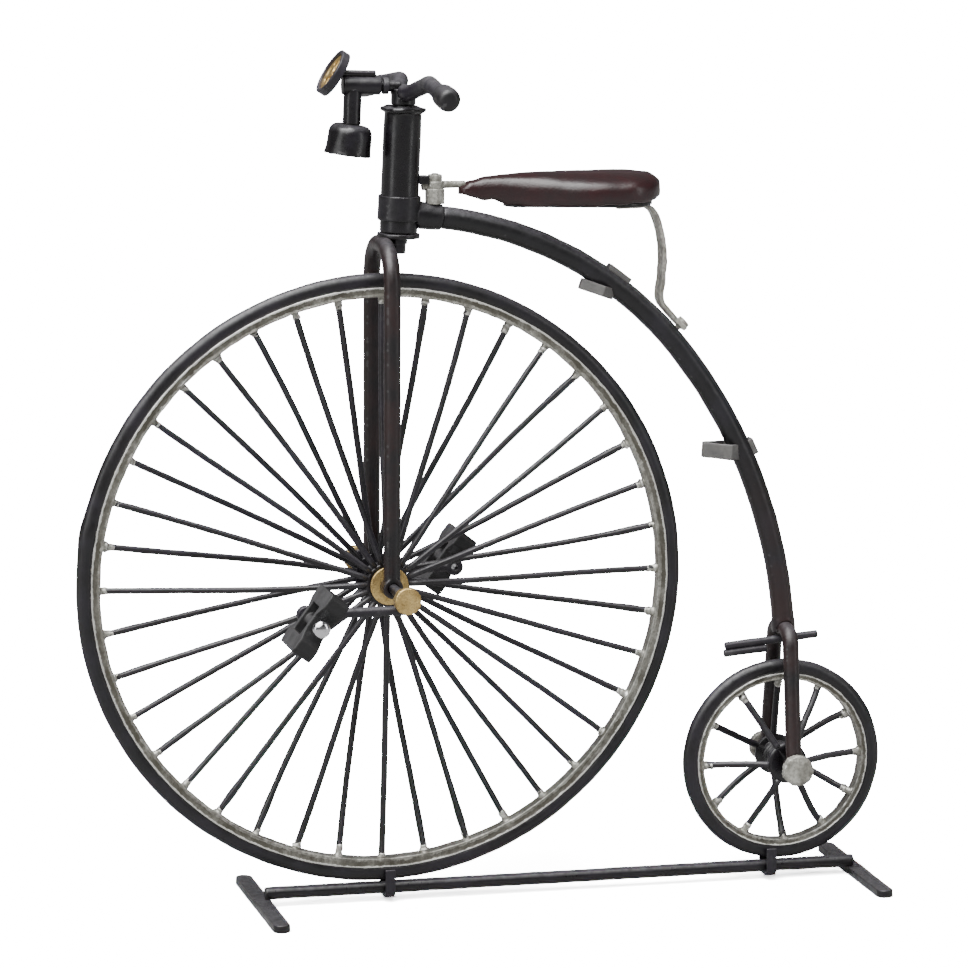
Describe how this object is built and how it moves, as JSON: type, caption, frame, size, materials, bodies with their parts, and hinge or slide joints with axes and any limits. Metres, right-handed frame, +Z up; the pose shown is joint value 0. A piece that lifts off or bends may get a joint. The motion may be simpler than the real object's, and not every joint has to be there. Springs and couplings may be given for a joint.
{
  "type": "miniature high-wheel bicycle on a display stand",
  "caption": "Small iron display model of a high-wheel bicycle: large spoked front wheel with pedals, small rear wheel, curved backbone, saddle, lamp and bell, held by a low stand.",
  "frame": {"origin": "on the floor under the middle of the overall box", "axes": "+Z up, -X to the front of the bicycle, -Y to the rider's left"},
  "size_m": [0.182, 0.0818, 0.1882],
  "materials": {
    "black_paint": "satin black paint over iron, with a brown tinge and small bare spots",
    "silver_paint": "rough silver paint",
    "brass": "dull brass with fine scratches",
    "chrome": "polished",
    "tyre_cord": "smooth black rubber",
    "grip_rubber": "black rubber",
    "moulded_pedal": "moulded, dusty black",
    "saddle_leather": "polished dark burgundy"
  },
  "bodies": {
    "stand": {"stand_rail": "black_paint", "stand_front_foot": "black_paint", "stand_rear_foot": "black_paint", "front_wheel_clip": "black_paint", "rear_wheel_clip": "black_paint"},
    "frame": {"head_tube": "black_paint", "head_lug": "black_paint", "backbone": "black_paint", "upper_step": "black_paint", "lower_step": "black_paint", "rear_fork": "black_paint", "rear_long_peg": "black_paint", "rear_short_peg": "black_paint", "rear_axle": "silver_paint", "rear_axle_caps": "silver_paint", "saddle_pad": "saddle_leather", "saddle_pan": "black_paint", "saddle_spring": "silver_paint", "saddle_spring_bolt": "silver_paint", "saddle_block": "black_paint", "saddle_stud": "silver_paint", "saddle_stud_nuts": "silver_paint", "saddle_nose_bar": "silver_paint", "saddle_nose_nut": "silver_paint"},
    "steering": {"front_fork": "black_paint", "steerer": "black_paint", "steerer_bolt": "black_paint", "stem": "black_paint", "handlebar": "black_paint", "left_grip": "grip_rubber", "right_grip": "grip_rubber", "lamp_bracket": "black_paint", "bracket_band": "black_paint", "lamp_rod": "black_paint", "lamp_ring": "black_paint", "lamp_face": "brass", "bell_tube": "black_paint", "bell_cup": "black_paint"},
    "front_wheel": {"front_tyre": "tyre_cord", "front_rim": "silver_paint", "front_spokes_left": "black_paint", "front_spokes_right": "black_paint", "front_ferrules": "silver_paint", "front_hub": "black_paint", "front_axle": "black_paint", "front_hub_washers": "brass", "left_crank": "black_paint", "right_crank": "black_paint", "left_axle_cap": "brass", "right_axle_cap": "brass", "left_pedal_pin": "chrome", "right_pedal_pin": "chrome"},
    "left_pedal": {"left_pedal": "moulded_pedal"},
    "right_pedal": {"right_pedal": "moulded_pedal"},
    "rear_wheel": {"rear_tyre": "tyre_cord", "rear_rim": "silver_paint", "rear_spokes": "black_paint", "rear_ferrules": "silver_paint", "rear_hub": "black_paint"}
  },
  "joints": [
    {"name": "lift_off", "type": "slide", "parent": "stand", "child": "frame", "axis": [0, 0, 1], "range_m": [0, 0.03]},
    {"name": "steer", "type": "hinge", "parent": "frame", "child": "steering", "pos_m": [-0.01995, 0, 0.14735], "axis": [0.0366, 0, 0.9993], "range_deg": [-10, 10]},
    {"name": "front_wheel_spin", "type": "hinge", "parent": "steering", "child": "front_wheel", "pos_m": [-0.02355, 0, 0.0723], "axis": [0, 1, 0], "continuous": true},
    {"name": "left_pedal_spin", "type": "hinge", "parent": "front_wheel", "child": "left_pedal", "pos_m": [-0.04535, -0.033, 0.0699], "axis": [0, 1, 0], "continuous": true},
    {"name": "right_pedal_spin", "type": "hinge", "parent": "front_wheel", "child": "right_pedal", "pos_m": [-0.00175, 0.033, 0.0699], "axis": [0, 1, 0], "continuous": true},
    {"name": "rear_wheel_spin", "type": "hinge", "parent": "frame", "child": "rear_wheel", "pos_m": [0.06825, 0, 0.0276], "axis": [0, 1, 0], "continuous": true}
  ]
}
